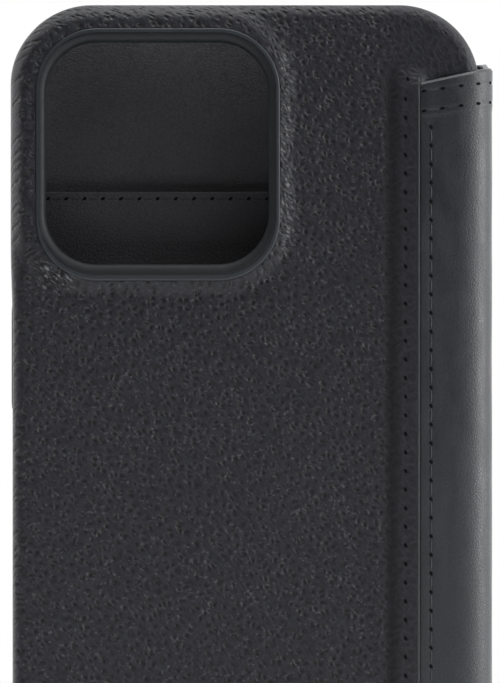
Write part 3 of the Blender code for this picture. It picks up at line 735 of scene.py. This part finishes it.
front_path += [(-px, STRIP_OUT) for px in lines((0.4 * MM - front_corner[0], -STRIP_EDGE - 0.12 * MM, 0.5 * MM))]
front_path += [(STRIP_EDGE + 0.03 * MM, STRIP_OUT - 0.04 * MM), (STRIP_EDGE, STRIP_OUT - 0.14 * MM)]


def path_frames(path):
    """Places along a path with their inward directions and lengths run."""
    spots = np.array(path)
    steps = np.gradient(spots, axis=0)
    steps /= np.linalg.norm(steps, axis=1)[:, None]
    inward = np.column_stack((-steps[:, 1], steps[:, 0]))
    run = np.concatenate(([0], np.cumsum(np.linalg.norm(np.diff(spots, axis=0), axis=1))))
    return spots, inward, run, steps


def back_end(px, at):
    """How far the flap's sloping end stands from the tray's top and bottom."""
    slope = np.clip((px - SEAM) / (SPINE_SIDE - SEAM), 0, 1)
    return 12.75 * MM - 2.65 * MM * slope


def front_end(px, at):
    """The cover side rounds off higher than the flap."""
    return 10.1 * MM - 1.6 * MM * smooth((at - SPINE_MIDDLE) / (front_corner[1] - SPINE_MIDDLE))


def end_rows(turned, fine):
    """Rows of a hemmed edge, from inside the turned-in leather to the outside: (back from the edge, offset)."""
    rows = [(HEM_TURN + back, 2 * HEM_TURN) for back in np.linspace(turned, 0.8 * MM, 5)]
    for angle in np.radians(np.linspace(180, 0, 9)):
        rows.append((HEM_TURN - HEM_TURN * math.sin(angle), HEM_TURN * (1 - math.cos(angle))))
    rows += [(back, 0) for back in fine]
    return rows


def row_drop(px):
    """How much further from the hem the rows run at the spine than at the seam."""
    return 0.9 * MM * np.clip((px - SEAM) / (SPINE_SIDE - SEAM), 0, 1)


fine = lines((0.6 * MM, 3.0 * MM, 0.2 * MM), (3.0 * MM, 4.0 * MM, 0.5 * MM), (4.0 * MM, 6.4 * MM, 0.2 * MM),
             (6.4 * MM, 8 * MM, 0.9 * MM))
edge = end_rows(6.2 * MM, fine)


def wrap(name, path, end_of, thick=HIDE, inset=0.0, rows=edge, dents=True):
    """Leather along a path, with both ends turned in."""
    spots, inward, run, _ = path_frames(path)
    middle = [("m", share) for share in np.linspace(0, 1, 42)[1:-1]]
    plan = [("low", row) for row in rows] + middle + [("high", row) for row in reversed(rows)]
    obj, column, row = grid(name, np.arange(len(path)), np.arange(len(plan)))
    px, pd = spots[column, 0], spots[column, 1]
    nx, nd = inward[column, 0], inward[column, 1]
    ends = end_of(px, pd)
    last = rows[-1][0]
    z, offset, from_end = np.empty(len(px)), np.empty(len(px)), np.empty(len(px))
    for i, r in enumerate(row):
        kind, value = plan[r]
        low, high = ends[i], LENGTH - ends[i]
        if kind == "m":
            z[i] = low + last + (high - low - 2 * last) * value
            offset[i] = 0
        else:
            z[i] = low + value[0] if kind == "low" else high - value[0]
            offset[i] = value[1]
        from_end[i] = min(z[i] - low, high - z[i])
    if dents:
        outer = offset == 0
        for at in HEM_ROWS:
            offset = offset + outer * 0.07 * MM * np.exp(-(((from_end - at - row_drop(px)) / (0.28 * MM)) ** 2))
        offset = offset - outer * 0.1 * MM * (1 - smooth((from_end - 5.1 * MM - row_drop(px)) / (1.0 * MM)))
        for row_x, on in ((ROW_X, pd < 0), (STRIP_ROW, pd > FRONT)):
            line = np.exp(-(((px - row_x) / (0.4 * MM)) ** 2)) * on * (from_end > 7 * MM)
            offset = offset + outer * 0.07 * MM * line
        ripple = np.array([noise.noise(Vector((a, b, c)) * 90) for a, b, c in zip(px, pd, z)])
        offset = offset + outer * ripple * 0.05 * MM
    offset = offset + inset
    move_points(obj, px + nx * offset, BACK + pd + nd * offset, z)
    change(obj, "SOLIDIFY", thickness=thick, offset=-1, use_even_offset=False)
    return obj


def smooth_hide():
    """Smooth cowhide: fine hair-cell grain, faint stretch marks and a waxy top."""
    hide = Finish("smooth_leather", IOR=1.45, Specular_IOR_Level=0.45)
    soft = hide.pushed(500, 0.0006)
    grain = hide.ramp(hide.cells("DISTANCE_TO_EDGE", 1900, soft), 0.0, 0.2)
    fine = hide.cloud(6500, 3)
    stretch = hide.cloud(500, 3, hide.stretched((0, 0, 0), (1.0, 1.0, 3.0), soft))
    height = grain * 0.4 + fine * 0.3 + stretch * 0.5
    shade = hide.ramp(hide.cloud(60, 3) * 0.6 + height * 0.5, 0.35, 0.95)
    colour = hide.colour(shade, (0.0071, 0.0083, 0.0103), (0.0148, 0.0171, 0.021))
    rough = hide.ramp(stretch + fine * 0.4, 0.4, 1.0, 0.37, 0.51)
    return hide.put(height, 0.000036, Base_Color=colour, Roughness=rough)


smooth_leather = smooth_hide()
BACK_FOLD = {"start": (35.5 * MM, BACK - 1.0 * MM, MIDDLE), "end": (39.0 * MM, BACK + 2.5 * MM, MIDDLE)}
FRONT_FOLD = {"start": (39.0 * MM, BACK + 15.3 * MM, MIDDLE), "end": (36.0 * MM, BACK + 18.9 * MM, MIDDLE)}
back_wrap = finished(wrap("spine_wrap_back", back_path, back_end), smooth_leather, None, "smooth_leather",
                     "spine_flap", "spine_leather")
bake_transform(back_wrap)
front_wrap = finished(wrap("spine_wrap_front", front_path, front_end), smooth_leather, None, "smooth_leather")
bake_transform(front_wrap)

LINING = 0.34 * MM
LINING_IN = 1.1 * MM                   # how far inside the hems the lining ends


def lined(name, path, end_of):
    """The lining behind part of a wrap."""
    rows = [(back, 0) for back in (0.0, 1 * MM)]
    return wrap(name, path, lambda px, at: end_of(px, at) + LINING_IN, LINING, 2 * HEM_TURN + 0.06 * MM, rows,
                dents=False)


back_lining = lined("spine_lining_back", back_path[-26:], back_end)
front_lining = lined("spine_lining_front", front_path[:18], front_end)
finished(back_lining, microfibre, None, "microfibre", "spine_lining")
finished(front_lining, microfibre, None, "microfibre")
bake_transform(back_lining)
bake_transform(front_lining)


# ---------------------------------------------------------------------------
# Seam. The lip's cut edge is burnished with edge paint, its bead painted lighter
# as a highlight, and rows of short lockstitches in waxed black thread go down needle
# holes 3 mm apart, each hole a flat dark disc of painted shade.
# ---------------------------------------------------------------------------
PITCH = 3.0 * MM
thread_finish = Finish("waxed_thread", Roughness=0.5, Specular_IOR_Level=0.3)
twist = thread_finish.cloud(5000, 2, thread_finish.stretched((0.5, 0.5, 0.5), (1, 1, 1)))
thread_finish.plain(twist, 0.00006, (0.008, 0.008, 0.009), (0.02, 0.02, 0.023))
# painted shade: each needle hole is a flat near-black disc laid on the leather, standing in for the hole and the
# shade in it
hole_shade_finish = Finish("needle_hole", Roughness=0.9, Specular_IOR_Level=0.0)
hole_shade_finish.plain(hole_shade_finish.cloud(4000, 2), 0.00005, (0.003, 0.003, 0.0035), (0.009, 0.009, 0.01))


def ball(size, steps=10, rings=6):
    bpy.ops.object.select_all(action="DESELECT")
    bpy.ops.mesh.primitive_uv_sphere_add(segments=steps, ring_count=rings, radius=1)
    obj = bpy.context.object
    obj.scale = size
    bpy.ops.object.transform_apply(location=False, rotation=False, scale=True)
    return obj


stitch_thread = ball((1.05 * MM, 0.17 * MM, 0.13 * MM))
stitch_thread.data.materials.append(thread_finish.material)
stitch_hole_shade = ball((0.4 * MM, 0.25 * MM, 0.06 * MM), 12, 4)
stitch_hole_shade.data.materials.append(hole_shade_finish.material)


def set_in(source, spot, along, side, outward, *turns):
    """A copy of a stitch's hole or thread at a spot, along three directions."""
    copy = source.copy()
    copy.data = source.data.copy()
    turn = Matrix((along, side, outward)).transposed().to_4x4()
    for further in turns:
        turn = turn @ further
    copy.data.transform(Matrix.Translation(spot) @ turn)
    bpy.context.scene.collection.objects.link(copy)
    return copy


def sew(name, places, threads=True, sink=0.05 * MM, slant=30, size=1.0, raised=0.02 * MM):
    """Stitches at places (point, along, outward): a slanted dark disc of painted shade for the needle hole at each,
    and a thread on to the next.
    """
    slanted = (Matrix.Rotation(math.radians(slant), 4, "Z"), Matrix.Scale(size, 4))
    made = []
    for number, (point, along, outward) in enumerate(places):
        point, along, outward = Vector(point), Vector(along).normalized(), Vector(outward).normalized()
        side = outward.cross(along).normalized()
        made.append(set_in(stitch_hole_shade, point + outward * raised, along, side, outward, *slanted))
        if threads and number < len(places) - 1:
            step = Vector(places[number + 1][0]) - point
            along = step.normalized()
            side = outward.cross(along).normalized()
            made.append(set_in(stitch_thread, point + step / 2 - outward * sink, along, side, along.cross(side)))
    alone(made[0])
    for piece in made:
        piece.select_set(True)
    bpy.ops.object.join()
    made[0].name = name
    return made[0]


def back_places(trail):
    """Stitch places on the tray's back leather, along a trail of (x, z)."""
    found = []
    for i, (px, pz) in enumerate(trail):
        after = trail[min(i + 1, len(trail) - 1)]
        before = trail[max(i - 1, 0)]
        height = float(leather_height(np.array([px]), np.array([pz]))[0])
        step = 0.2 * MM
        tilt = float(leather_height(np.array([px + step]), np.array([pz]))[0]) - height
        found.append(((px, BACK - height, pz), (after[0] - before[0], 0, after[1] - before[1]), (-tilt, -step, 0)))
    return found


def centred_row(from_end):
    """Heights of a row's stitches, spread from the middle to at least this far from both ends."""
    count = int((LENGTH - 2 * from_end) / PITCH)
    return [MIDDLE + (i - count / 2) * PITCH for i in range(count + 1)]


row_x = SEAM - BACK_ROW
heights = centred_row(14.8 * MM)
last_x = row_x + 0.4 * MM
trail = [(last_x, heights[0] - 3.2 * MM)] + [(row_x, at) for at in heights] + [(last_x, heights[-1] + 3.2 * MM)]
seam_stitches = sew("seam_stitches", back_places(trail), threads=False, raised=0.06 * MM)
finished(seam_stitches, None, "tray", "pebbled_leather", angle=50)


def on_path(path, along_x, end_of, back):
    """A place on a wrap's outside: where the path has run a length, and back from its end."""
    spots, inward, run, steps = path_frames(path)
    (px, pd), (nx, nd), (tx, td) = [[float(np.interp(along_x, run, part[:, i])) for i in range(2)]
                                    for part in (spots, inward, steps)]
    end = float(end_of(np.array([px]), np.array([pd]))[0])
    return (px, BACK + pd, end + back), (tx, td, 0), (-nx, -nd, 0)


def hem_row(name, path, end_of, back, top, first, last):
    """A row across a wrap, parallel to its hemmed end."""
    found = []
    for length in np.arange(first, last, PITCH):
        (px, py, pz), along, outward = on_path(path, length, end_of, back)
        pz += row_drop(px)
        if top:
            pz = LENGTH - pz
        found.append(((px, py, pz), along, outward))
    return sew(name, found, sink=0.01 * MM, slant=8, raised=0.08 * MM)


def placed(row, fold, *bodies):
    """Smooths a row of stitches."""
    finished(row, None, None, "smooth_leather", angle=50)
    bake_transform(row)


flap_start = 2.8 * MM
for number, back in enumerate(HEM_ROWS):
    for top in (True, False):
        where = "top" if top else "bottom"
        back_run = path_frames(back_path)[2][-1]
        front_run = path_frames(front_path)[2][-1]
        row = hem_row(f"hem_row_back_{where}_{number}", back_path, back_end, back, top,
                      flap_start, back_run - 0.3 * MM)
        placed(row, BACK_FOLD, "tray", "spine")
        row = hem_row(f"hem_row_front_{where}_{number}", front_path, front_end, back, top,
                      1.2 * MM, front_run - 1.5 * MM)
        placed(row, FRONT_FOLD, "spine", "cover")

heights = centred_row(18.9 * MM)
flap_row = [((ROW_X, BACK + FLAP_OUT, at), (0, 0, 1), (0, -1, 0)) for at in heights]
flap_stitches = sew("flap_stitches", flap_row, sink=0.07 * MM, size=0.95, raised=0.04 * MM)
finished(flap_stitches, None, "tray", "smooth_leather", angle=50)
strip_row = [((STRIP_ROW, BACK + STRIP_OUT, at), (0, 0, 1), (0, 1, 0)) for at in heights]
strip_stitches = sew("strip_stitches", strip_row)
finished(strip_stitches, None, "cover", "smooth_leather", angle=50)

# edge paint is real, but its bead is coloured lighter than the leather as a painted highlight along the lip's cut
# edge
edge_paint = Finish("edge_paint", Roughness=0.4)
edge_paint.plain(edge_paint.cloud(700, 3), 0.00004, (0.006, 0.0068, 0.008), (0.018, 0.02, 0.022))
seam_edge = slab("seam_edge", "Z", (SEAM - 0.12 * MM, BACK - 0.28 * MM), (SEAM + 0.22 * MM, BACK), 0.1 * MM,
                 (SLIT_END - 1.0 * MM, LENGTH - SLIT_END + 1.0 * MM), steps=3)
alone(seam_edge)
bpy.ops.object.mode_set(mode="EDIT")
bpy.ops.mesh.select_all(action="DESELECT")
bpy.ops.object.mode_set(mode="OBJECT")
for joint in seam_edge.data.edges:
    ends = [seam_edge.data.vertices[i].co.z for i in joint.vertices]
    joint.select = abs(ends[0] - ends[1]) > 10 * MM
bpy.ops.object.mode_set(mode="EDIT")
bpy.ops.mesh.subdivide(number_cuts=60)
bpy.ops.object.mode_set(mode="OBJECT")
for point in seam_edge.data.vertices:
    point.co.y -= float(leather_height(np.array([SEAM]), np.array([point.co.z]))[0]) - 0.22 * MM
finished(seam_edge, edge_paint, "tray", "pebbled_leather", angle=60)


# ---------------------------------------------------------------------------
# Cover leather. The front of the folio: smooth cowhide over a stiff board,
# its three free edges turned in over a 1 mm roll and sewn all round.
# ---------------------------------------------------------------------------
COVER_SKIN = 0.7 * MM
COVER_ROUNDING = 1.1 * MM
COVER_ROW = 2.6 * MM                   # from the cover's edge to its stitch row
COVER_DENT = 0.06 * MM                 # how far the sewn leather is pulled in
cover_low, cover_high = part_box("cover_leather")
cover_half = (cover_high[0] - cover_low[0]) / 2
cover_x = (cover_high[0] + cover_low[0]) / 2
cover_wall = FRONT - (cover_low[1] - BACK)
cover_over = edge_reach(cover_wall, COVER_ROUNDING)


def sheet_lines(half):
    """Grid positions across the cover, closer together at its edges."""
    return lines(
        (-half - cover_over, -half - 0.1 * MM, 0.5 * MM),
        (-half - 0.1 * MM, -half + 5 * MM, 0.3 * MM),
        (-half + 5 * MM, half - 5 * MM, 2.2 * MM),
        (half - 5 * MM, half + 0.1 * MM, 0.3 * MM),
        (half + 0.1 * MM, half + cover_over, 0.5 * MM),
    )


cover_leather, u, v = grid("cover_leather_skin", sheet_lines(cover_half), sheet_lines(half_length))
x, z, depth = wrapped(u, v, cover_half, half_length, TRAY_CORNER, COVER_ROUNDING)
x, z = x + cover_x, z + MIDDLE
from_edge = -off_rounded(x, z, (cover_low[0], 0), (cover_high[0], LENGTH), TRAY_CORNER)[0]
flat_share = 1 - smooth(depth / (0.5 * MM))
row_dent = 0.08 * MM * np.exp(-(((from_edge - COVER_ROW) / (0.35 * MM)) ** 2)) * flat_share
ripple = np.array([noise.noise(Vector((a, b, c + 3)) * 60) for a, b, c in zip(x, depth, z)]) * 0.06 * MM
move_points(cover_leather, x, BACK + FRONT - depth - row_dent - (COVER_DENT + ripple) * flat_share, z)
cover_leather.data.flip_normals()
change(cover_leather, "SOLIDIFY", thickness=COVER_SKIN, offset=-1, use_even_offset=False)
finished(cover_leather, smooth_leather, "cover", "smooth_leather", "cover_leather")


def round_places(low, high, corner, depth_at, outward, skip=None):
    """Stitch places round a rounded rectangle at a depth, evenly spread, from its top right."""
    loop = outline(low, high, corner, 12)
    loop.append(loop[0])
    spots = np.array(loop)
    run = np.concatenate(([0], np.cumsum(np.linalg.norm(np.diff(spots, axis=0), axis=1))))
    number = int(round(run[-1] / PITCH))
    found = []
    for i in range(number):
        here, ahead = run[-1] * i / number, run[-1] * (i + 0.2) / number
        px, pz = np.interp(here, run, spots[:, 0]), np.interp(here, run, spots[:, 1])
        ax, az = np.interp(ahead, run, spots[:, 0]), np.interp(ahead, run, spots[:, 1])
        if skip is None or not skip(px, pz):
            found.append(((px, BACK + depth_at, pz), (ax - px, 0, az - pz), (0, outward, 0)))
    first = max(range(len(found)), key=lambda i: found[i][0][0] if found[i][0][2] > MIDDLE else -1)
    return found[first:] + found[:first]


cover_row = round_places(
    (cover_low[0] + COVER_ROW, COVER_ROW), (cover_high[0] + 40 * MM, LENGTH - COVER_ROW), TRAY_CORNER - COVER_ROW,
    FRONT - COVER_DENT, 1, skip=lambda px, pz: px > cover_high[0] - 11.2 * MM,
)
cover_stitches = sew("cover_stitches", cover_row)
finished(cover_stitches, None, "cover", "smooth_leather", angle=50)

board_finish = Finish("fibreboard", Roughness=0.85)
fibres = board_finish.cloud(1500, 4, board_finish.stretched((0, 0.3, 0), (1, 1, 5)))
board_finish.plain(fibres, 0.0001, (0.12, 0.1, 0.075), (0.26, 0.22, 0.17))
repaint("cover_board", board_finish)
magnet_finish = Finish("magnet_nickel", Metallic=1.0)
brushed = magnet_finish.cloud(900, 3, magnet_finish.stretched((0, 0, 0), (1, 1, 10)))
magnet_finish.plain(brushed, 0.00001, (0.5, 0.5, 0.48), (0.68, 0.68, 0.66), rough=(0.22, 0.36))
repaint("closure_magnet_upper", magnet_finish)
repaint("closure_magnet_lower", magnet_finish)
repaint("cover_lining", microfibre)


# ---------------------------------------------------------------------------
# Inside pockets. A slip pocket for notes over the whole cover and three
# stepped card pockets on it, in thin fine-grained leather, each with a turned
# mouth and sewn round its other three sides.
# ---------------------------------------------------------------------------
POCKET_SKIN = 0.4 * MM
POCKET_SEAM = 2.0 * MM                 # the glued and sewn margin round a pocket's room
CARD_STEP = 6.0 * MM                   # each card pocket's floor stands in from the last


def pocket_hide():
    """Thin split leather with a printed fine grain."""
    hide = Finish("pocket_leather", IOR=1.45, Specular_IOR_Level=0.4)
    soft = hide.pushed(700, 0.0005)
    grain = hide.ramp(hide.cells("DISTANCE_TO_EDGE", 1500, soft), 0.0, 0.18)
    fine = hide.cloud(6000, 3)
    tone = hide.cloud(80, 2)
    height = grain * 0.6 + fine * 0.3
    shade = hide.ramp(tone * 0.5 + height * 0.5, 0.3, 0.9)
    rough = hide.ramp(fine + tone * 0.3, 0.3, 0.9, 0.46, 0.6)
    colour = hide.colour(shade, (0.018, 0.018, 0.021), (0.036, 0.036, 0.042))
    return hide.put(height, 0.00006, Base_Color=colour, Roughness=rough)


pocket_leather = pocket_hide()
cash_low, cash_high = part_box("cash_pocket")
inset_corner = TRAY_CORNER - cash_low[2]
cash_end = cover_high[0] - cash_low[2]
cash = slab("cash_pocket_sheet", "Y", (cash_low[0], cash_low[2]), (cash_end, cash_high[2]), inset_corner,
            (cash_low[1], cash_high[1]), steps=12)
room = slab("cash_room", "Y", (cash_low[0] + POCKET_SEAM, cash_low[2] + POCKET_SEAM),
            (cash_end - 0.4 * MM, cash_high[2] - POCKET_SEAM), inset_corner - POCKET_SEAM,
            (cash_low[1] + POCKET_SKIN, cash_high[1] + 1 * MM), steps=12)
trim = slab("cash_trim", "Y", (cash_high[0], -5 * MM), (cash_high[0] + 50 * MM, LENGTH + 5 * MM), 0.3 * MM,
            (cash_low[1] - 1 * MM, cash_high[1] + 1 * MM))
cut(cash, room)
cut(cash, trim)
change(cash, "BEVEL", width=0.12 * MM, segments=3, limit_method="ANGLE", angle_limit=math.radians(50))
finished(cash, pocket_leather, "cover", "pocket_leather", "cash_pocket")
cash_row = round_places(
    (cash_low[0] + 1.2 * MM, cash_low[2] + 1.2 * MM), (cash_end - 1.2 * MM, cash_high[2] - 1.2 * MM),
    inset_corner - 1.2 * MM, cash_low[1] - BACK, -1, skip=lambda px, pz: px > cash_high[0] - 0.6 * MM,
)
finished(sew("cash_stitches", cash_row), None, "cover", "pocket_leather", angle=50)

for number, node in enumerate(("card_pocket_outer", "card_pocket_middle", "card_pocket_inner")):
    low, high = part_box(node)
    front, rear = low[1], high[1]
    floor = low[0] + POCKET_SEAM + number * CARD_STEP
    pocket = slab(node + "_sheet", "Y", (low[0], low[2]), (high[0], high[2]), 1.5 * MM, (front, rear), steps=6)
    room = slab(node + "_room", "Y", (floor, low[2] + POCKET_SEAM), (high[0] + 5 * MM, high[2] - POCKET_SEAM),
                0.3 * MM, (front + POCKET_SKIN, rear + 1 * MM), steps=3)
    cut(pocket, room)
    change(pocket, "BEVEL", width=0.1 * MM, segments=3, limit_method="ANGLE", angle_limit=math.radians(50))
    finished(pocket, pocket_leather, "cover", "pocket_leather", node)
    row = round_places(
        (low[0] + 1.1 * MM, low[2] + 1.1 * MM), (high[0] + 50 * MM, high[2] - 1.1 * MM), 1.2 * MM, front - BACK, -1,
        skip=lambda px, pz: px > high[0] - 0.5 * MM,
    )
    finished(sew(node + "_stitches", row), None, "cover", "pocket_leather", angle=50)

for spare in (stitch_thread, stitch_hole_shade):
    bpy.data.objects.remove(spare)
